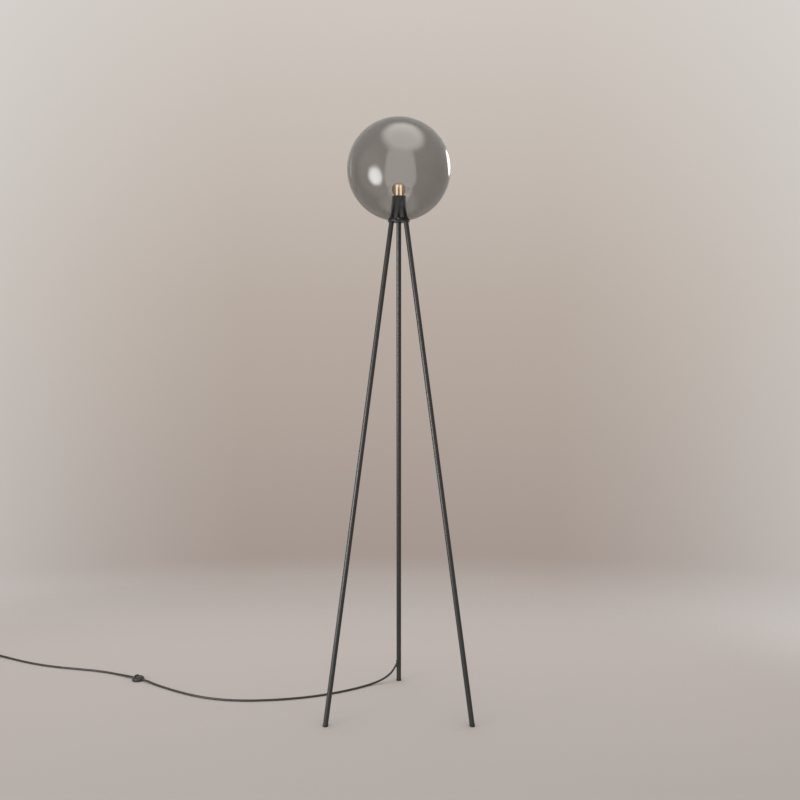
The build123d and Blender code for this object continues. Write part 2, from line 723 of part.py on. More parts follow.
with BuildPart() as switch_base:
    with BuildSketch(switch_plane):
        Circle(switch_r)
    extrude(amount=switch_seam_z)
    fillet(switch_base.faces().sort_by(Axis.Z)[0].edges(), switch_foot_r)
    chamfer(switch_base.faces().sort_by(Axis.Z)[-1].edges(), switch_seam_chamfer)
    with BuildSketch(switch_plane.offset(switch_wall)):
        Circle(switch_r - switch_wall)
        with Locations(*screw_spots):
            Circle(screw_post_r, mode=Mode.SUBTRACT)
    extrude(amount=switch_seam_z, mode=Mode.SUBTRACT)
    with BuildSketch(switch_plane):
        with Locations(*screw_spots):
            Circle(switch_screw_dia / 2)
    extrude(amount=switch_seam_z, mode=Mode.SUBTRACT)
    with BuildSketch(switch_plane):
        with Locations(*screw_spots):
            Circle(switch_screw_dia)
    extrude(amount=switch_screw_dia / 2, taper=45, mode=Mode.SUBTRACT)
    with BuildSketch(cord_hole_plane):
        Circle(cord_r)
    extrude(amount=switch_dia, both=True, mode=Mode.SUBTRACT)
write_part(switch_base, "switch_base")

with BuildPart() as switch_cover:
    cover_inner_top = cover_top_z - switch_wall
    with BuildSketch(switch_side):
        with BuildLine():
            top_edge = (cover_flat_dia / 2, cover_top_z)
            Polyline((0, switch_seam_z), (cover_r, switch_seam_z), (cover_r, cover_shoulder_z))
            RadiusArc((cover_r, cover_shoulder_z), top_edge, -cover_arc_r)
            Polyline(top_edge, (0, cover_top_z), (0, switch_seam_z))
        make_face()
    revolve(axis=switch_axis)
    with BuildSketch(switch_side):
        with BuildLine():
            inner_r = cover_r - switch_wall
            inner_edge = (cover_flat_dia / 2 - switch_wall / 2, cover_inner_top)
            Line((0, switch_seam_z), (inner_r, switch_seam_z))
            RadiusArc((inner_r, switch_seam_z), inner_edge, -cover_arc_r)
            Polyline(inner_edge, (0, cover_inner_top), (0, switch_seam_z))
        make_face()
    revolve(axis=switch_axis, mode=Mode.SUBTRACT)
    # Screw posts, and the cheeks that hold the rocker's pivot.
    with BuildSketch(switch_plane.offset(switch_seam_z)):
        with Locations(*screw_spots):
            Circle(screw_post_r)
    extrude(amount=cover_inner_top - switch_seam_z + joint_overlap)
    with BuildSketch(switch_plane.offset(pivot_z - cheek_drop)):
        for y in (-cheek_y - cheek_thickness / 2, cheek_y + cheek_thickness / 2):
            with Locations((0, y)):
                Rectangle(cheek_length, cheek_thickness)
    extrude(amount=cover_inner_top + joint_overlap - pivot_z + cheek_drop)
    with BuildSketch(switch_plane.offset(cover_inner_top - switch_wall)):
        Rectangle(window, 2 * cheek_y)
    extrude(amount=3 * switch_wall, mode=Mode.SUBTRACT)
    with BuildSketch(switch_plane.offset(switch_seam_z)):
        with Locations(*screw_spots):
            Circle(switch_screw_dia / 2)
    extrude(amount=switch_screw_bite, mode=Mode.SUBTRACT)
    with BuildSketch(switch_side):
        with Locations((0, pivot_z)):
            Circle(pivot_dia / 2)
    extrude(amount=cheek_y + cheek_thickness, both=True, mode=Mode.SUBTRACT)
    with BuildSketch(cord_hole_plane):
        Circle(cord_r)
    extrude(amount=switch_dia, both=True, mode=Mode.SUBTRACT)
write_part(switch_cover, "switch_cover")


def about_pivot(radius, angle):
    """Point of the rocker's outline from its polar place about the pivot, tilted as it rests."""
    a = radians(angle + rocker_rest_tilt)
    return (radius * cos(a), pivot_z + radius * sin(a))


with BuildPart() as switch_rocker:
    # A shallow V on top between two ends that are round about the pivot.
    with BuildSketch(switch_side):
        with BuildLine():
            foot_r, *foot_angles = rocker_foot
            ends = [[about_pivot(rocker_radius, a) for a in angles] for angles in rocker_ends]
            ThreePointArc(*ends[0])
            ThreePointArc(*ends[1])
            foot = [about_pivot(foot_r, a) for a in foot_angles]
            Polyline(ends[0][2], *foot, ends[1][0])
            Polyline(ends[1][2], about_pivot(rocker_dip, 90), ends[0][0])
        make_face()
        with Locations((0, pivot_z)):
            Circle(pivot_dia / 2 + pivot_gap, mode=Mode.SUBTRACT)
    extrude(amount=rocker_width / 2, both=True)
write_part(switch_rocker, "switch_rocker")

with BuildPart() as switch_pivot:
    with BuildSketch(switch_side):
        with Locations((0, pivot_z)):
            Circle(pivot_dia / 2)
    extrude(amount=cheek_y + cheek_thickness, both=True)
write_part(switch_pivot, "switch_pivot")

with BuildPart() as switch_terminals:
    with BuildSketch(switch_plane.offset(switch_wall)):
        with Locations((-terminal_offset, 0), (terminal_offset, 0)):
            Rectangle(terminal_size[0], terminal_size[1])
    extrude(amount=terminal_size[2])
    with BuildSketch(switch_plane.offset(switch_wall + terminal_size[2])):
        with Locations((-terminal_offset, 0), (terminal_offset, 0)):
            Circle(terminal_screw_dia / 2)
    extrude(amount=-terminal_size[2] / 2, mode=Mode.SUBTRACT)
write_part(switch_terminals, "switch_terminals")

with BuildPart() as switch_screws:
    with BuildSketch(switch_plane):
        with Locations(*screw_spots):
            Circle(switch_screw_dia / 2)
    extrude(amount=switch_seam_z + switch_screw_bite - switch_screw_spare)
    with BuildSketch(switch_plane.offset(switch_screw_sink)):
        with Locations(*screw_spots):
            Circle(switch_screw_dia - switch_head_gap)
    extrude(amount=switch_screw_dia / 2 - switch_head_gap, taper=45)
    with BuildSketch(switch_plane):
        with Locations(*screw_spots):
            Rectangle(2 * switch_screw_dia, switch_screw_slot[0])
    extrude(amount=switch_screw_slot[1], mode=Mode.SUBTRACT)
write_part(switch_screws, "switch_screws")


def beside_switch(offset, z):
    """Point above the line of the cord through the switch, offset from the switch's centre."""
    return switch_origin + switch_along * offset + Vector(0, 0, z)


# ---- Cord from the leg to the switch ------------------------------------------------------------
# Down from the leg in one bend, then along the floor behind the left leg.
leg_to_switch = [
    cord_exit,
    cord_exit + exit_dir * cord_lead,
    (-28.5, 178, 17.2),
    (-49, 170.5, 7.6),
    (-76, 156, cord_r),
    (-108, 131, cord_r),
    (-152, 104.5, cord_r),
    (-203, 80.5, cord_r),
    (-255, 64.5, cord_r),
    (-312, 54, cord_r),
    (-372, 49, cord_r),
    (-430, 54, cord_r),
    (-484, 69.5, cord_r),
    (-535, 95, cord_r),
    (-585, 127, cord_r),
    (-626, 157, cord_r),
    beside_switch(-switch_run_in, switch_seam_z),
    beside_switch(-cord_end_offset, switch_seam_z),
]
length_to_switch = write_tube(leg_to_switch, "cord_leg_to_switch")

# ---- Coil -----------------------------------------------------------------------------------------
coil_pitch = cord_dia + coil_gap
coil_low_z = tie_thickness + tie_lift + cord_r
coil_turns_out = coil_turns_in + (coil_end_azimuth - coil_start_azimuth) / 360
coil_turns = coil_turns_in + coil_turns_out


def coil_place(turn):
    """Point of the coil's centreline after that many turns: in on the lower layer, out on the upper."""
    angle = radians(coil_start_azimuth + 360 * turn)
    radius = coil_inner_r + coil_pitch * abs(turn - coil_turns_in)
    climb = min(max((turn - coil_turns_in) * 2 + 0.5, 0), 1)
    spot = Vector(radius * cos(angle), radius * sin(angle), coil_low_z + coil_pitch * climb)
    return Vector(*coil_centre, 0) + spot


def coil_heading(turn):
    """Direction of the coil there: round the coil, with half its rise towards the next layer."""
    angle = radians(coil_start_azimuth + 360 * turn)
    inward = coil_pitch / (2 * pi)
    radius = coil_inner_r + coil_pitch * abs(turn - coil_turns_in)
    growth = 0 if turn == coil_turns_in else inward * (1 if turn > coil_turns_in else -1)
    rise = coil_pitch / pi if turn == coil_turns_in else 0
    if turn in (0, coil_turns):
        growth = 0
    heading = Vector(-radius * sin(angle), radius * cos(angle), rise)
    return (heading + Vector(growth * cos(angle), growth * sin(angle), 0)).normalized()


def biarc(start, start_dir, end, end_dir):
    """Two arcs that meet smoothly between two points, with the given directions at the ends."""
    gap = end - start
    both = start_dir + end_dir
    a, b, c = 2 * (1 - start_dir.dot(end_dir)), 2 * gap.dot(both), -gap.dot(gap)
    reach = (-b + sqrt(b * b - 4 * a * c)) / (2 * a)
    joint = (start + start_dir * reach + end - end_dir * reach) * 0.5
    first = TangentArc(start, joint, tangent=start_dir)
    TangentArc(joint, end, tangent=first % 1)


quarters = ceil(coil_turns * 4)
coil_stops = [quarter / 4 for quarter in range(quarters)] + [coil_turns]
coil_start, coil_end = coil_place(0), coil_place(coil_turns)
coil_start_dir, coil_end_dir = coil_heading(0), coil_heading(coil_turns)
with BuildPart() as cord_coil:
    with BuildLine() as coil_path:
        Line(coil_start - coil_start_dir * cord_dia, coil_start)
        for here, after in zip(coil_stops, coil_stops[1:]):
            biarc(coil_place(here), coil_heading(here), coil_place(after), coil_heading(after))
        Line(coil_end, coil_end + coil_end_dir * cord_dia)
    with BuildSketch(Plane(coil_start - coil_start_dir * cord_dia, z_dir=coil_start_dir)):
        Circle(cord_r)
    sweep(path=coil_path.wire())
write_part(cord_coil, "cord_coil")

# Least gap between turns, from points spaced along the centreline.
coil_line = coil_path.wire()
samples = 720
coil_points = [coil_line @ (i / samples) for i in range(samples + 1)]
half_turn_steps = int(samples / coil_turns / 2)
least_gap = min(
    (coil_points[j] - coil_points[i]).length - cord_dia
    for i in range(len(coil_points))
    for j in range(i + half_turn_steps, len(coil_points))
)
coil_share = cord_coil.part.volume / (pi * cord_r**2 * coil_line.length)
print(f"cord_coil: length {coil_line.length:.1f}, least gap to itself {least_gap:.2f}")
print(f"  volume over section times length {coil_share:.4f}")

with BuildPart() as cord_tie:
    # Flat strap round the bundle of turns.
    tie_out = unit_from_angles(tie_azimuth)
    bundle_turn = (tie_azimuth - coil_start_azimuth) / 360
    bundle_low = coil_inner_r + coil_pitch * min(bundle_turn, 1 - bundle_turn)
    bundle_high = coil_inner_r + coil_pitch * max(coil_turns_in - bundle_turn, 1 + bundle_turn)
    bundle_mid = (bundle_low + bundle_high) / 2
    inner_width = bundle_high - bundle_low + cord_dia + 2 * tie_slack
    inner_height = coil_pitch + cord_dia + 2 * tie_lift
    tie_mid = Vector(*coil_centre, tie_thickness + inner_height / 2) + tie_out * bundle_mid
    tie_plane = Plane(origin=tie_mid, x_dir=tie_out, z_dir=tie_out.cross(Vector(0, 0, 1)))
    with BuildSketch(tie_plane):
        outer_size = (inner_width + 2 * tie_thickness, inner_height + 2 * tie_thickness)
        RectangleRounded(*outer_size, tie_corner_r + tie_thickness)
        RectangleRounded(inner_width, inner_height, tie_corner_r, mode=Mode.SUBTRACT)
    extrude(amount=tie_width / 2, both=True)
write_part(cord_tie, "cord_tie")

# ---- Cord from the switch to the coil ---------------------------------------------------------------
run_in_end = coil_start - coil_start_dir * cord_dia
switch_to_coil = [
    beside_switch(cord_end_offset, switch_seam_z),
    beside_switch(switch_run_in, switch_seam_z),
    (-735, 227.5, cord_r),
    (-788, 251.5, cord_r),
    (-845, 267.5, cord_r),
    (-904, 280.5, cord_r),
    (-962, 298.5, cord_r),
    (-1015, 320.5, cord_r),
    (-1067, 348.5, cord_r),
    run_in_end - coil_start_dir * coil_run_in,
    run_in_end,
]
length_to_coil = write_tube(switch_to_coil, "cord_switch_to_coil")

# ---- Plug ---------------------------------------------------------------------------------------------
# The plug lies flat beside the coil, with its pins pointing to the front.
lead_out = coil_end + coil_end_dir * cord_dia
coil_to_plug = [
    lead_out,
    Vector(lead_out.X, lead_out.Y - lead_stops[0], lead_out.Z),
    Vector(lead_out.X, lead_out.Y - lead_stops[1], plug_z),
    Vector(lead_out.X, lead_out.Y - lead_stops[2], plug_z),
]
length_to_plug = write_tube(coil_to_plug, "cord_coil_to_plug")
relief_start = coil_to_plug[-1]
plug_start = relief_start + Vector(0, -relief_length, 0)
plug_face = plug_start + Vector(0, -plug_length, 0)
pin_plane = Plane(origin=plug_face, x_dir=(1, 0, 0), z_dir=(0, -1, 0))
plug_pin_spots = [(-plug_pin_spacing / 2, 0), (plug_pin_spacing / 2, 0)]

with BuildPart() as plug_strain_relief:
    with BuildSketch(Plane(origin=relief_start, z_dir=(0, -1, 0))):
        Circle(relief_tip_dia / 2)
    with BuildSketch(Plane(origin=plug_start, z_dir=(0, -1, 0))):
        Circle(relief_dia / 2)
    loft()
    # Bending slots: rings cut a little way in.
    for step in range(relief_slots):
        share = (step + 0.5) / relief_slots
        spot = relief_start + Vector(0, -relief_length * share, 0)
        ring_r = (relief_tip_dia + (relief_dia - relief_tip_dia) * share) / 2
        with BuildSketch(Plane(origin=spot, z_dir=(0, -1, 0))):
            Circle(ring_r + relief_slot[1])
            Circle(ring_r - relief_slot[1], mode=Mode.SUBTRACT)
        extrude(amount=relief_slot[0], mode=Mode.SUBTRACT)
write_part(plug_strain_relief, "plug_strain_relief")

with BuildPart() as plug_body:
    tail, face, middle = plug_tail_width / 2, plug_width / 2, plug_tail_share * plug_length
    with BuildSketch(Plane(origin=plug_start - Vector(0, 0, plug_thickness / 2))):
        with BuildLine():
            Polyline(
                (-tail, 0),
                (tail, 0),
                (face, -middle),
                (face, -plug_length),
                (-face, -plug_length),
                (-face, -middle),
                close=True,
            )
        make_face()
    extrude(amount=plug_thickness)
    fillet(plug_body.edges().filter_by(Axis.Z), plug_corner_r)
    fillet(plug_body.faces().sort_by(Axis.Z)[-1].edges(), plug_edge_r)
    fillet(plug_body.faces().sort_by(Axis.Z)[0].edges(), plug_edge_r)
    with BuildSketch(pin_plane):
        with Locations(*plug_pin_spots):
            Circle(plug_pin_core_dia / 2)
    extrude(amount=-plug_pin_hold, mode=Mode.SUBTRACT)
write_part(plug_body, "plug_body")

with BuildPart() as plug_pins:
    with BuildSketch(pin_plane.offset(-plug_pin_hold)):
        with Locations(*plug_pin_spots):
            Circle(plug_pin_core_dia / 2)
    extrude(amount=plug_pin_hold + plug_sleeve_length)
    with BuildSketch(pin_plane.offset(plug_sleeve_length)):
        with Locations(*plug_pin_spots):
            Circle(plug_pin_dia / 2)
    extrude(amount=plug_pin_length - plug_sleeve_length)
    fillet(plug_pins.faces().group_by(Axis.Y)[0].edges(), plug_pin_tip_r)
write_part(plug_pins, "plug_pins")

with BuildPart() as plug_pin_sleeves:
    with BuildSketch(pin_plane):
        with Locations(*plug_pin_spots):
            Circle(plug_sleeve_dia / 2)
            Circle(plug_pin_core_dia / 2, mode=Mode.SUBTRACT)
    extrude(amount=plug_sleeve_length)
write_part(plug_pin_sleeves, "plug_pin_sleeves")

free_length = length_to_switch + length_to_coil + coil_line.length + length_to_plug
print(f"free cord {free_length:.0f}, globe centre {globe_centre_z:.2f}, leg tilt {leg_tilt:.2f}")
print(f"lamp height {globe_centre_z + globe_r:.1f}, rim top {hub_top_z + rim_height:.1f}")
print(f"cord exit {cord_exit}, pin face {plug_face}")
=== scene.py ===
import json
import math

import bmesh
import bpy
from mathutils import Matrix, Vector


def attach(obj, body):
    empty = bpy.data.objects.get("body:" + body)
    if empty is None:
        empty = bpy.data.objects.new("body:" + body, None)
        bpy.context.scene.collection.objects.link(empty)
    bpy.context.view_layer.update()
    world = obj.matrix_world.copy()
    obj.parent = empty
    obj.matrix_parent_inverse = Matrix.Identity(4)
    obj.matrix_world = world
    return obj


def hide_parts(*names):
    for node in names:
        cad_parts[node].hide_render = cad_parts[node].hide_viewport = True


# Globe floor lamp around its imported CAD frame. Metres; +Z up, the floor at Z = 0, front towards -Y.
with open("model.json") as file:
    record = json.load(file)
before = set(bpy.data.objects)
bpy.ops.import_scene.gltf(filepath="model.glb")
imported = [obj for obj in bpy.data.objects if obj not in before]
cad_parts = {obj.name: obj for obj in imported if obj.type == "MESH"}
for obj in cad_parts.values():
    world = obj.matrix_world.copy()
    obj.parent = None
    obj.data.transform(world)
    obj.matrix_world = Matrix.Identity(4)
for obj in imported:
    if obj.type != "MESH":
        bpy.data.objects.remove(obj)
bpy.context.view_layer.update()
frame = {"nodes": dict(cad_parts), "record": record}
nodes = frame["nodes"]

# ---- Camera: level, in front of the lamp, with the photograph's framing ----------------------
IMAGE_PX = 800
FOCAL_PX = 958.47
AXIS_PX = (398.81, 332.57)  # where the camera's axis meets the picture
CAMERA_AT = (0.0, -2.3107, 0.909)

camera_data = bpy.data.cameras.new("camera")
camera_data.sensor_width = 36.0
camera_data.lens = camera_data.sensor_width * FOCAL_PX / IMAGE_PX
camera_data.shift_x = 0.5 - AXIS_PX[0] / IMAGE_PX
camera_data.shift_y = AXIS_PX[1] / IMAGE_PX - 0.5
camera = bpy.data.objects.new("camera", camera_data)
camera.location = CAMERA_AT
camera.rotation_euler = (math.radians(90), 0, 0)
bpy.context.scene.collection.objects.link(camera)
bpy.context.scene.camera = camera
bpy.context.scene.view_settings.view_transform = "Standard"


# ---- Materials -----------------------------------------------------------------------------
def new_material(name):
    material = bpy.data.materials.new(name)
    material.use_nodes = True
    tree = material.node_tree
    return material, tree, tree.nodes["Principled BSDF"]


def noise(tree, scale, detail=3.0, stretch=(1, 1, 1), roughness=0.5):
    """Noise in the object's own coordinates, stretched along an axis by a mapping."""
    place = tree.nodes.new("ShaderNodeTexCoord")
    mapping = tree.nodes.new("ShaderNodeMapping")
    mapping.inputs["Scale"].default_value = stretch
    texture = tree.nodes.new("ShaderNodeTexNoise")
    texture.inputs["Scale"].default_value = scale
    texture.inputs["Detail"].default_value = detail
    texture.inputs["Roughness"].default_value = roughness
    tree.links.new(place.outputs["Object"], mapping.inputs["Vector"])
    tree.links.new(mapping.outputs["Vector"], texture.inputs["Vector"])
    return texture


def ramp(tree, source, low, high, low_at=0.35, high_at=0.65):
    """Colour ramp between two colours driven by a texture's factor."""
    node = tree.nodes.new("ShaderNodeValToRGB")
    node.color_ramp.elements[0].position = low_at
    node.color_ramp.elements[1].position = high_at
    node.color_ramp.elements[0].color = (*low, 1)
    node.color_ramp.elements[1].color = (*high, 1)
    tree.links.new(source, node.inputs["Fac"])
    return node.outputs["Color"]


def between(tree, source, low, high):
    """A number that follows a texture's factor between two values."""
    node = tree.nodes.new("ShaderNodeMapRange")
    node.inputs["From Min"].default_value = 0.3
    node.inputs["From Max"].default_value = 0.7
    node.inputs["To Min"].default_value = low
    node.inputs["To Max"].default_value = high
    tree.links.new(source, node.inputs["Value"])
    return node.outputs["Result"]


def bump(tree, shader, height, strength, distance):
    """Fine relief on a surface, from a texture's factor."""
    node = tree.nodes.new("ShaderNodeBump")
    node.inputs["Strength"].default_value = strength
    node.inputs["Distance"].default_value = distance
    tree.links.new(height, node.inputs["Height"])
    tree.links.new(node.outputs["Normal"], shader.inputs["Normal"])


def finish_material(name, low, high, rough, metallic=0.0, grain=900.0, stretch=(1, 1, 1),
                    relief=0.2, depth=0.0001, specular=0.5, coat=0.0, mottle=40.0):
    """Opaque finish: colour that drifts between two tones, varying gloss and a fine grain."""
    material, tree, shader = new_material(name)
    cloud = noise(tree, mottle, stretch=stretch)
    fine = noise(tree, grain, detail=2.0, stretch=stretch)
    tree.links.new(ramp(tree, cloud.outputs["Fac"], low, high), shader.inputs["Base Color"])
    tree.links.new(between(tree, cloud.outputs["Fac"], *rough), shader.inputs["Roughness"])
    shader.inputs["Metallic"].default_value = metallic
    shader.inputs["Specular IOR Level"].default_value = specular
    shader.inputs["Coat Weight"].default_value = coat
    bump(tree, shader, fine.outputs["Fac"], relief, depth)
    return material


SHADOW_TINT = (0.94, 0.94, 0.94)
GLASS_IOR = 1.5


def clear_glass(name, tint, absorb=None):
    """Solid glass. What absorbs is the glass itself, and shadow rays pass, tinted."""
    material, tree, shader = new_material(name)
    shader.inputs["Base Color"].default_value = (*tint, 1)
    shader.inputs["Roughness"].default_value = 0.0
    shader.inputs["IOR"].default_value = GLASS_IOR
    shader.inputs["Transmission Weight"].default_value = 1.0
    output = tree.nodes["Material Output"]
    clear = tree.nodes.new("ShaderNodeBsdfTransparent")
    clear.inputs["Color"].default_value = (*SHADOW_TINT, 1)
    light_path = tree.nodes.new("ShaderNodeLightPath")
    mix = tree.nodes.new("ShaderNodeMixShader")
    tree.links.new(light_path.outputs["Is Shadow Ray"], mix.inputs["Fac"])
    tree.links.new(shader.outputs["BSDF"], mix.inputs[1])
    tree.links.new(clear.outputs["BSDF"], mix.inputs[2])
    tree.links.new(mix.outputs["Shader"], output.inputs["Surface"])
    if absorb:
        colour, density = absorb
        body = tree.nodes.new("ShaderNodeVolumeAbsorption")
        body.inputs["Color"].default_value = (*colour, 1)
        body.inputs["Density"].default_value = density
        tree.links.new(body.outputs["Volume"], output.inputs["Volume"])
    return material


black_paint = finish_material(
    "black_paint", (0.011, 0.012, 0.010), (0.016, 0.017, 0.015), (0.34, 0.44),
    grain=2600, relief=0.25, depth=0.00004, mottle=60,
)
black_rubber = finish_material(
    "black_rubber", (0.012, 0.012, 0.011), (0.020, 0.019, 0.018), (0.62, 0.78), grain=1800, relief=0.3
)
black_plastic = finish_material(
    "black_plastic", (0.012, 0.012, 0.012), (0.017, 0.017, 0.017), (0.26, 0.36),
    grain=4000, relief=0.15, depth=0.00003,
)
sheath = finish_material(
    "cable_sheath", (0.014, 0.011, 0.009), (0.022, 0.018, 0.015), (0.42, 0.55),
    grain=900, relief=0.2, depth=0.00006,
)
ceramic = finish_material(
    "ceramic", (0.70, 0.66, 0.59), (0.78, 0.74, 0.68), (0.18, 0.26), grain=500, relief=0.08, coat=0.3
)
steel = finish_material(
    "steel", (0.50, 0.50, 0.50), (0.62, 0.61, 0.59), (0.26, 0.38), metallic=1.0,
    grain=1500, stretch=(1, 1, 6), relief=0.2, depth=0.00003,
)
brass = finish_material(
    "brass", (0.60, 0.42, 0.17), (0.72, 0.54, 0.26), (0.24, 0.36), metallic=1.0, grain=1500, relief=0.2
)
nylon = finish_material("nylon", (0.62, 0.61, 0.57), (0.70, 0.69, 0.65), (0.38, 0.50))
brown_core = finish_material("brown_core", (0.10, 0.04, 0.02), (0.14, 0.06, 0.03), (0.36, 0.46))
blue_core = finish_material("blue_core", (0.02, 0.07, 0.26), (0.03, 0.09, 0.34), (0.36, 0.46))

# What glass absorbs: the colour that it keeps, and how strongly, per metre.
SMOKE = ((0.10, 0.095, 0.075), 100.0)
AMBER = ((0.58, 0.34, 0.06), 155.0)
smoked = clear_glass("smoked_glass", (1, 1, 1), absorb=SMOKE)
bulb_glass = clear_glass("bulb_glass", (1, 1, 1), absorb=AMBER)
stem_glass = clear_glass("clear_glass", (0.99, 0.98, 0.97))

glow, glow_tree, glow_shader = new_material("filament")
glow_cloud = noise(glow_tree, 260)
glow_shader.inputs["Base Color"].default_value = (0.85, 0.62, 0.30, 1)
glow_tree.links.new(
    ramp(glow_tree, glow_cloud.outputs["Fac"], (1.0, 0.74, 0.46), (1.0, 0.84, 0.62)),
    glow_shader.inputs["Emission Color"],
)
glow_shader.inputs["Emission Strength"].default_value = 1.9
glow_shader.inputs["Roughness"].default_value = 0.5

MATERIAL_OF_SLOT = {
    "black_paint": black_paint, "smoked_glass": smoked, "bulb_glass": bulb_glass,
    "clear_glass": stem_glass, "black_rubber": black_rubber, "black_plastic": black_plastic,
    "cable_sheath": sheath, "ceramic": ceramic, "brass": brass, "steel": steel, "nylon": nylon,
    "filament": glow, "brown_core": brown_core, "blue_core": blue_core,
}
slot_of = {part["node"]: part["material_slot"] for part in frame["record"]["subparts"]}
for name, node in nodes.items():
    node.data.materials.clear()
    node.data.materials.append(MATERIAL_OF_SLOT[slot_of[name]])


# ---- Cords ---------------------------------------------------------------------------------
def mm(*point):
    """A point given in millimetres, as metres."""
    return Vector(point) / 1000


CORD_DIAMETER = 0.0052
STRAIGHT_OUT = 0.016  # the first cord leaves its bush straight for this far
CORD_EXIT = mm(-7.0914, 185.0225, 44.0096)
EXIT_DIR = Vector((-0.472760, -0.162784, -0.866025))
SWITCH_AT = mm(-681, 195, 0)
SWITCH_AZIMUTH = math.radians(149)
SWITCH_ALONG = Vector((math.cos(SWITCH_AZIMUTH), math.sin(SWITCH_AZIMUTH), 0))
SWITCH_BORE_Z = 4.6  # height of the cord's centreline in the switch, in millimetres
IN_SWITCH, BESIDE_SWITCH = 11.5, 31  # points of the cords from the middle of the switch
LOW = 2.6  # height of the cord's centreline on the floor, in millimetres


def beside_switch(offset):
    return SWITCH_AT + SWITCH_ALONG * offset / 1000 + Vector((0, 0, SWITCH_BORE_Z / 1000))


leg_to_switch = [CORD_EXIT, CORD_EXIT + EXIT_DIR * STRAIGHT_OUT]
leg_to_switch += [mm(*point) for point in (
    (-28.5, 178, 17.2), (-49, 170.5, 7.6), (-76, 156, LOW), (-108, 131, LOW), (-152, 104.5, LOW),
    (-203, 80.5, LOW), (-255, 64.5, LOW), (-312, 54, LOW), (-372, 49, LOW), (-430, 54, LOW),
    (-484, 69.5, LOW), (-535, 95, LOW), (-585, 127, LOW), (-626, 157, LOW),
)]
leg_to_switch += [beside_switch(-BESIDE_SWITCH), beside_switch(-IN_SWITCH)]

COIL_CENTRE = (-1172.0, 366.0)
COIL_START_AZIMUTH = 62.0
COIL_INNER_R = 23.0
COIL_PITCH = 5.7
COIL_LOW, COIL_RISE = 3.6, 5.7
COIL_TURNS_IN = 2.0
COIL_TURNS = 2 * COIL_TURNS_IN + (180.0 - COIL_START_AZIMUTH) / 360
COIL_POINTS = 16  # control points for each turn
coil_steps = round(COIL_TURNS * COIL_POINTS)
coil_grow = 1 / math.cos(math.pi / COIL_POINTS)  # the spline cuts inside its corners by this much


def coil_point(turn):
    """In on the lower layer, up at the innermost turn, and out on the upper layer."""
    angle = math.radians(COIL_START_AZIMUTH + 360 * turn)
    radius = COIL_INNER_R + COIL_PITCH * abs(turn - COIL_TURNS_IN)
    climb = min(max((turn - COIL_TURNS_IN) * 2 + 0.5, 0), 1)
    radius *= coil_grow
    return mm(
        COIL_CENTRE[0] + radius * math.cos(angle),
        COIL_CENTRE[1] + radius * math.sin(angle),
        COIL_LOW + COIL_RISE * climb,
    )


COIL_EXIT_X = -1208.268
switch_to_plug = [beside_switch(IN_SWITCH), beside_switch(BESIDE_SWITCH)]
switch_to_plug += [mm(*point) for point in (
    (-735, 227.5, LOW), (-788, 251.5, LOW), (-845, 267.5, LOW), (-904, 280.5, LOW),
    (-962, 298.5, LOW), (-1015, 320.5, LOW), (-1067, 348.5, LOW), (-1115.94, 375.15, COIL_LOW),
    (-1151.26, 393.93, COIL_LOW),
)]
switch_to_plug += [coil_point(k * COIL_TURNS / coil_steps) for k in range(1, coil_steps)]
switch_to_plug += [mm(COIL_EXIT_X, *place) for place in (
    (360.8, 9.3), (353.3, 9.3), (344.3, 7.0), (336.8, 7.0),
)]


def cord_curve(name, points, body="stand"):
    """Round cord along one open NURBS spline."""
    data = bpy.data.curves.new(name, "CURVE")
    data.dimensions = "3D"
    data.bevel_depth = CORD_DIAMETER / 2
    data.bevel_resolution = 5
    data.resolution_u = 10
    spline = data.splines.new("NURBS")
    spline.points.add(len(points) - 1)
    for point, place in zip(spline.points, points):
        point.co = (*place, 1)
    spline.order_u = 3
    spline.use_endpoint_u = True
    data.use_fill_caps = True
    curve = bpy.data.objects.new(name, data)
    bpy.context.scene.collection.objects.link(curve)
    data.materials.append(sheath)
    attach(curve, body)
    return curve


first_cord = cord_curve("cord_from_leg", leg_to_switch)
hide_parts("cord_leg_to_switch")
second_cord = cord_curve("cord_to_plug", switch_to_plug)
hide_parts("cord_switch_to_coil", "cord_coil", "cord_coil_to_plug")


# ---- Glass ----------------------------------------------------------------------------------
SHARP_EDGE = math.radians(35)
NOTHING = 1e-9


def lathe(name, outline, material, body, segments=192):
    """Solid turned about the lamp's axis from a closed outline of (radius, height) in metres."""
    mesh = bpy.data.meshes.new(name)
    work = bmesh.new()
    rings = []
    for radius, height in outline:
        if radius < NOTHING:
            rings.append([work.verts.new((0, 0, height))] * segments)
            continue
        ring = []
        for k in range(segments):
            angle = 2 * math.pi * k / segments
            ring.append(work.verts.new((radius * math.cos(angle), radius * math.sin(angle), height)))
        rings.append(ring)
    closed = outline[0][0] > NOTHING
    pairs = list(zip(rings, rings[1:])) + ([(rings[-1], rings[0])] if closed else [])
    for lower, upper in pairs:
        for k in range(segments):
            after = (k + 1) % segments
            corners = [lower[k], lower[after], upper[after], upper[k]]
            face = [v for i, v in enumerate(corners) if v not in corners[:i]]
            if len(face) > 2:
                work.faces.new(face)
    bmesh.ops.recalc_face_normals(work, faces=work.faces)
    for face in work.faces:
        face.smooth = True
    for edge in work.edges:
        if len(edge.link_faces) == 2 and edge.calc_face_angle() > SHARP_EDGE:
            edge.smooth = False
    work.to_mesh(mesh)
    work.free()
    piece = bpy.data.objects.new(name, mesh)
    bpy.context.scene.collection.objects.link(piece)
    mesh.materials.append(material)
    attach(piece, body)
    return piece


def arc(centre_z, radius, start, end, steps):
    """Points of an arc in the half plane, by elevation in degrees."""
    turns = [math.radians(start + (end - start) * i / steps) for i in range(steps + 1)]
    return [(radius * math.cos(a), centre_z + radius * math.sin(a)) for a in turns]


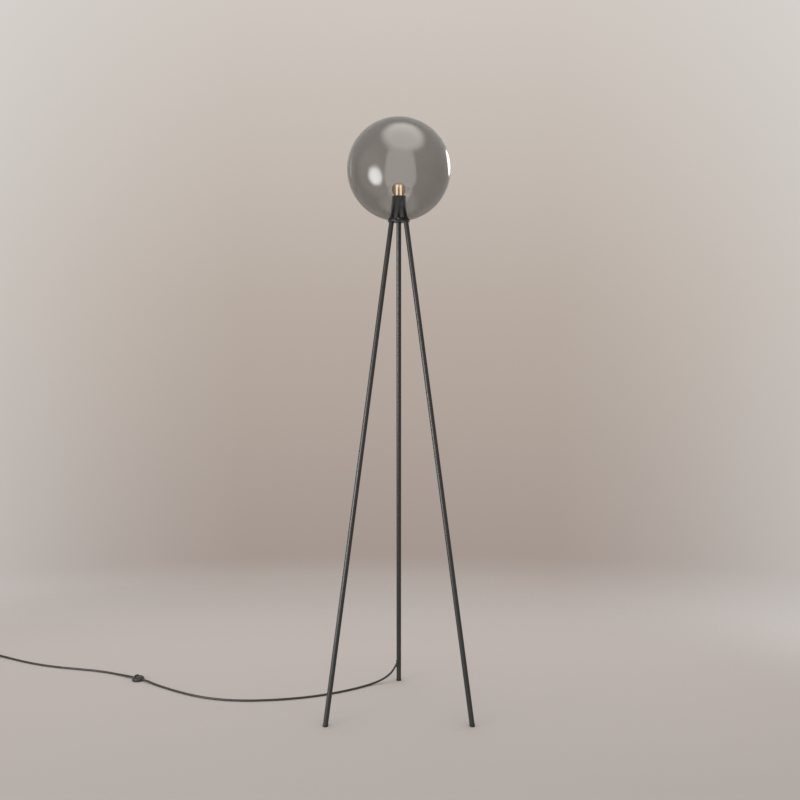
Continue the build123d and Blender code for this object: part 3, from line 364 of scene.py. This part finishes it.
GLOBE_Z, GLOBE_R, GLOBE_WALL = 1.30266, 0.125, 0.006
GLOBE_HOLE_R, GLOBE_SEAT_Z = 0.0242, 1.1805

seat_angle = math.degrees(math.asin((GLOBE_SEAT_Z - GLOBE_Z) / GLOBE_R))
inner_r = GLOBE_R - GLOBE_WALL
lip_angle = -math.degrees(math.acos(GLOBE_HOLE_R / inner_r))
outer = arc(GLOBE_Z, GLOBE_R, 90, seat_angle, 96)
outer[0] = (0.0, outer[0][1])
inner = arc(GLOBE_Z, inner_r, lip_angle, 90, 96)
inner[-1] = (0.0, inner[-1][1])
mouth = [(GLOBE_HOLE_R, GLOBE_SEAT_Z)]
globe = lathe("globe", outer + mouth + inner, smoked, "shade", segments=256)
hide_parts("globe_shade")

BASE_TOP, FOOT_IN_BASE = 1.2345, 0.0018
BALL_Z, BALL_R, NECK_R, BULB_WALL = 1.2544, 0.01675, 0.0118, 0.0024


def bulb_outline(shrink):
    """Neck that runs into a ball, from its foot up to the top of the ball."""
    ball, neck = BALL_R - shrink, NECK_R - shrink
    join = math.degrees(math.acos(neck / ball))
    return [(neck, BASE_TOP - FOOT_IN_BASE), (neck, BASE_TOP)] + arc(BALL_Z, ball, -join, 90, 48)


outside, inside = bulb_outline(0), bulb_outline(BULB_WALL)
outside[-1] = (0.0, outside[-1][1])
inside[-1] = (0.0, inside[-1][1])
bulb_outlines = outside[::-1] + inside
bulb = lathe("bulb_glass", bulb_outlines, bulb_glass, "bulb", segments=128)
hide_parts("bulb_envelope")

# ---- Stage ------------------------------------------------------------------------------------
# A plain floor that fades out behind the lamp into the pale surroundings; its colour carries painted
# light and shade, darker nearest the camera and furthest back, lightest in between.
FLOOR_CENTRE = (-0.35, -1.0)
FLOOR_R, FADE_FROM, FADE_TO = 2.8, 1.75, 2.5
FLOOR_COLOUR = (0.57, 0.52, 0.495)
TONES_FROM, TONES_TO = 0.6, 2.6  # metres behind the middle of the floor
# Painted light and shade: a level for the floor's colour at each share of the way from TONES_FROM to
# TONES_TO.
FLOOR_LIGHT_AND_SHADE = ((0.0, 0.925), (0.42, 1.075), (0.56, 1.06), (0.70, 0.98), (0.85, 0.94))
RIM_POINTS = 96

floor_mesh = bpy.data.meshes.new("floor")
rim = [2 * math.pi * k / RIM_POINTS for k in range(RIM_POINTS)]
rim_points = [(FLOOR_R * math.cos(a), FLOOR_R * math.sin(a), 0) for a in rim]
floor_mesh.from_pydata(rim_points, [], [range(RIM_POINTS)])
floor = bpy.data.objects.new("floor", floor_mesh)
floor.location = (*FLOOR_CENTRE, 0)
bpy.context.scene.collection.objects.link(floor)
floor.visible_glossy = False

paper, paper_tree, paper_shader = new_material("floor")
paper_shader.inputs["Roughness"].default_value = 0.9
paper_shader.inputs["Specular IOR Level"].default_value = 0.1
floor_mesh.materials.append(paper)
floor_place = paper_tree.nodes.new("ShaderNodeTexCoord")
floor_split = paper_tree.nodes.new("ShaderNodeSeparateXYZ")
paper_tree.links.new(floor_place.outputs["Object"], floor_split.inputs["Vector"])
depth = paper_tree.nodes.new("ShaderNodeMapRange")
depth.inputs["From Min"].default_value = TONES_FROM
depth.inputs["From Max"].default_value = TONES_TO
tone = paper_tree.nodes.new("ShaderNodeValToRGB")
for _ in range(len(FLOOR_LIGHT_AND_SHADE) - 2):
    tone.color_ramp.elements.new(0.5)
for element, (position, level) in zip(tone.color_ramp.elements, FLOOR_LIGHT_AND_SHADE):
    element.position = position
    element.color = (*(channel * level for channel in FLOOR_COLOUR), 1)
paper_tree.links.new(floor_split.outputs["Y"], depth.inputs["Value"])
paper_tree.links.new(depth.outputs["Result"], tone.inputs["Fac"])
paper_tree.links.new(tone.outputs["Color"], paper_shader.inputs["Base Color"])
far = paper_tree.nodes.new("ShaderNodeVectorMath")
far.operation = "LENGTH"
fade = paper_tree.nodes.new("ShaderNodeMapRange")
fade.interpolation_type = "SMOOTHSTEP"
fade.inputs["From Min"].default_value = FADE_FROM
fade.inputs["From Max"].default_value = FADE_TO
gone = paper_tree.nodes.new("ShaderNodeBsdfTransparent")
fade_mix = paper_tree.nodes.new("ShaderNodeMixShader")
paper_tree.links.new(floor_place.outputs["Object"], far.inputs[0])
paper_tree.links.new(far.outputs["Value"], fade.inputs["Value"])
paper_tree.links.new(fade.outputs["Result"], fade_mix.inputs["Fac"])
paper_tree.links.new(paper_shader.outputs["BSDF"], fade_mix.inputs[1])
paper_tree.links.new(gone.outputs["BSDF"], fade_mix.inputs[2])
paper_tree.links.new(fade_mix.outputs["Shader"], paper_tree.nodes["Material Output"].inputs["Surface"])

# ---- Surroundings -----------------------------------------------------------------------------
# A pale wall over the floor, seen directly, through glass and in reflections alike, with painted light
# and shade in its colours.
# Reflections also find a few soft bright panels. Dull surfaces get even light.
world = bpy.data.worlds.new("world")
bpy.context.scene.world = world
world.use_nodes = True
sky = world.node_tree
background = sky.nodes["Background"]


def calc(operation, *values, clamp=False, tree=sky):
    """Math node on sockets or plain numbers."""
    node = tree.nodes.new("ShaderNodeMath")
    node.operation = operation
    node.use_clamp = clamp
    for socket, value in zip(node.inputs, values):
        if isinstance(value, (int, float)):
            socket.default_value = value
        else:
            tree.links.new(value, socket)
    return node.outputs["Value"]


def step(value, low, high, tree=sky):
    """Smooth step from 0 at low to 1 at high, in either order."""
    node = tree.nodes.new("ShaderNodeMapRange")
    node.interpolation_type = "SMOOTHSTEP"
    node.inputs["From Min"].default_value, node.inputs["From Max"].default_value = low, high
    if low > high:
        node.inputs["From Min"].default_value, node.inputs["From Max"].default_value = high, low
        node.inputs["To Min"].default_value, node.inputs["To Max"].default_value = 1.0, 0.0
    tree.links.new(value, node.inputs["Value"])
    return node.outputs["Result"]


def colour_mix(share, first, second, blend="MIX"):
    node = sky.nodes.new("ShaderNodeMix")
    node.data_type = "RGBA"
    node.blend_type = blend
    sockets = (node.inputs["Factor"], node.inputs["A"], node.inputs["B"])
    for socket, value in zip(sockets, (share, first, second)):
        if isinstance(value, (int, float)):
            socket.default_value = value
        elif isinstance(value, tuple):
            socket.default_value = (*value, 1)
        else:
            sky.links.new(value, socket)
    return node.outputs["Result"]


def srgb(*levels):
    """Scene-linear colour of a display colour given in 0 to 255."""
    return tuple(((v / 255 + 0.055) / 1.055) ** 2.4 for v in levels)


direction = sky.nodes.new("ShaderNodeTexCoord").outputs["Generated"]
split = sky.nodes.new("ShaderNodeSeparateXYZ")
sky.links.new(direction, split.inputs["Vector"])
dx, dy, dz = split.outputs

wall = sky.nodes.new("ShaderNodeValToRGB")
# Colours by the sine of the elevation, with painted shade in a darker band where the floor meets the
# wall and painted light higher up.
WALL_LIGHT_AND_SHADE = (
    (-0.42, srgb(181, 173, 169)), (-0.29, srgb(189, 181, 177)), (-0.225, srgb(164, 151, 144)),
    (0.034, srgb(184, 172, 162)), (0.32, srgb(206, 198, 191)), (0.60, srgb(214, 208, 203)),
)
elements = wall.color_ramp.elements
for _ in range(len(WALL_LIGHT_AND_SHADE) - 2):
    elements.new(0.5)
for element, (height, colour) in zip(elements, WALL_LIGHT_AND_SHADE):
    element.position = 0.5 + height / 2
    element.color = (*colour, 1)
sky.links.new(calc("MULTIPLY_ADD", dz, 0.5, 0.5), wall.inputs["Fac"])
OFF_ZERO = 0.0001  # keeps the division below off zero straight up and down
level_run = calc("SQRT", calc("ADD", calc("MULTIPLY", dx, dx), calc("MULTIPLY_ADD", dy, dy, OFF_ZERO)))
ahead = calc("DIVIDE", dy, level_run)
# Painted light: away from straight ahead the wall turns paler, by up to this share.
PALER, PALER_SHARE, PALER_RUN = srgb(232, 233, 232), 0.3, (-15.2, 15.0)
aside = calc("MULTIPLY", calc("MULTIPLY_ADD", ahead, *PALER_RUN, clamp=True), PALER_SHARE)
pale_room = colour_mix(aside, wall.outputs["Color"], PALER)

# Panels, by azimuth from the front (+ to the right), from the back, and by elevation, in degrees.
TURN = math.degrees(1)
from_front = calc("MULTIPLY", calc("ARCTAN2", dx, calc("MULTIPLY", dy, -1.0)), TURN)
from_back = calc("MULTIPLY", calc("ARCTAN2", dx, dy), TURN)
elevation = calc("MULTIPLY", calc("ARCSINE", dz), TURN)
over = calc("MULTIPLY", calc("ARCTAN2", dz, calc("MULTIPLY", dy, -1.0)), TURN)
sideways = calc("MULTIPLY", calc("ARCSINE", dx), TURN)


def panel(strength, *edges):
    """Light from a panel: the product of its soft edges, times its strength."""
    lit = edges[0]
    for edge in edges[1:]:
        lit = calc("MULTIPLY", lit, edge)
    return calc("MULTIPLY", lit, strength)


def oval(first, first_mid, first_half, second, second_mid, second_half, soft):
    """Soft-edged oval, by its middle and half its width along each of two angles."""
    a = calc("MULTIPLY_ADD", first, 1 / first_half, -first_mid / first_half)
    b = calc("MULTIPLY_ADD", second, 1 / second_half, -second_mid / second_half)
    reach = calc("SQRT", calc("ADD", calc("MULTIPLY", a, a), calc("MULTIPLY", b, b)))
    return step(reach, 1 + soft / 2, 1 - soft / 2)


# Each panel is its strength and its edges.
overhead = panel(4.3, oval(over, 68, 40, sideways, 8, 34, soft=0.55))
front = panel(2.6, oval(over, -20, 73, sideways, 3.5, 34.5, soft=0.25), step(over, -52, -42))
slot = panel(5.0, oval(from_back, 31, 11.5, elevation, 12, 7, soft=0.3))
sliver = panel(0.6, oval(from_back, -47, 4, elevation, 8, 9, soft=0.8))
ground = panel(0.8, step(elevation, -50, -66), step(calc("ABSOLUTE", dx), 0.13, 0.24))
left = panel(0.65, oval(from_front, -66, 32, elevation, -15, 50, soft=0.8))
bounced = panel(6.2, oval(over, -1, 75, sideways, -3.5, 34.5, soft=0.25), step(over, 26, 36))
broad = calc("MAXIMUM", calc("MAXIMUM", overhead, front), calc("MAXIMUM", ground, left))
panels = calc("ADD", broad, calc("ADD", slot, sliver))

# Polished surfaces show the panels in full; rough ones, and what lies inside the glass, much less.
PANEL_LEAST = 0.16
PANEL_COLOUR = (1.0, 0.95, 0.89)
NONE_YET, THROUGH_GLOBE = 0.5, 3.5  # counts along a ray's path: none yet, and out of the globe's back
path = sky.nodes.new("ShaderNodeLightPath")
before_glass = calc("LESS_THAN", path.outputs["Transmission Depth"], NONE_YET)
polished = calc("MULTIPLY", path.outputs["Is Singular Ray"], before_glass)
panel_share = calc("MULTIPLY_ADD", polished, 1 - PANEL_LEAST, PANEL_LEAST)
panel_light = sky.nodes.new("ShaderNodeVectorMath")
panel_light.operation = "SCALE"
panel_light.inputs[0].default_value = PANEL_COLOUR
through = calc("GREATER_THAN", path.outputs["Transmission Depth"], THROUGH_GLOBE)
off_the_back = calc("MULTIPLY", bounced, through)
sky.links.new(calc("MULTIPLY_ADD", panels, panel_share, off_the_back), panel_light.inputs["Scale"])
lit_room = colour_mix(1.0, pale_room, panel_light.outputs["Vector"], blend="ADD")

reflected = calc("GREATER_THAN", path.outputs["Glossy Depth"], NONE_YET)
scattered = calc("GREATER_THAN", path.outputs["Diffuse Depth"], NONE_YET)
seen = colour_mix(reflected, pale_room, lit_room)
AMBIENT = (0.56, 0.545, 0.53)
sky.links.new(colour_mix(scattered, seen, AMBIENT), background.inputs["Color"])
background.inputs["Strength"].default_value = 1.0


# ---- Lights -----------------------------------------------------------------------------------
WINDOW_WATTS = 86


def softbox(name, place, target, size, watts, shape="RECTANGLE"):
    data = bpy.data.lights.new(name, "AREA")
    data.shape = shape
    data.size, data.size_y = size
    data.energy = watts
    light = bpy.data.objects.new(name, data)
    light.location = place
    light.rotation_euler = (Vector(target) - Vector(place)).to_track_quat("-Z", "Y").to_euler()
    light.visible_camera = False
    light.visible_glossy = False
    light.visible_transmission = False
    bpy.context.scene.collection.objects.link(light)
    return light


softbox("top", (0.1, -0.3, 3.1), (0.1, 0.0, 0.0), (2.0, 2.4), 30)
softbox("left_front", (-2.3, -1.7, 1.2), (0, 0, 0.8), (1.4, 1.4), 12, shape="ELLIPSE")

# A bright soft-edged window low on the left, which only shows in reflections on the outside.
WINDOW_AT, WINDOW_SIZE = (-1.55, -1.09, 0.62), (1.56, 1.80)
WINDOW_MIDDLE = 0.5
WINDOW_EDGE, WINDOW_FULL = 0.5, 0.18  # where its light ends and is full, as shares of its width
window = softbox("window", WINDOW_AT, (0, 0, 0.80), WINDOW_SIZE, WINDOW_WATTS, shape="ELLIPSE")
window.visible_glossy = True
window.visible_diffuse = False
window.data.use_nodes = True
glass_tree = window.data.node_tree
spot = glass_tree.nodes.new("ShaderNodeNewGeometry")
spot_split = glass_tree.nodes.new("ShaderNodeSeparateXYZ")
glass_tree.links.new(spot.outputs["Parametric"], spot_split.inputs["Vector"])
u = calc("SUBTRACT", spot_split.outputs["X"], WINDOW_MIDDLE, tree=glass_tree)
v = calc("SUBTRACT", spot_split.outputs["Y"], WINDOW_MIDDLE, tree=glass_tree)
v_squared = calc("MULTIPLY", v, v, tree=glass_tree)
reach = calc("SQRT", calc("MULTIPLY_ADD", u, u, v_squared, tree=glass_tree), tree=glass_tree)
window_path = glass_tree.nodes.new("ShaderNodeLightPath")
window_outside = calc("LESS_THAN", window_path.outputs["Transmission Depth"], NONE_YET, tree=glass_tree)
window_shape = step(reach, WINDOW_EDGE, WINDOW_FULL, tree=glass_tree)
window_level = calc("MULTIPLY", window_shape, window_outside, tree=glass_tree)
glass_tree.links.new(window_level, glass_tree.nodes["Emission"].inputs["Strength"])
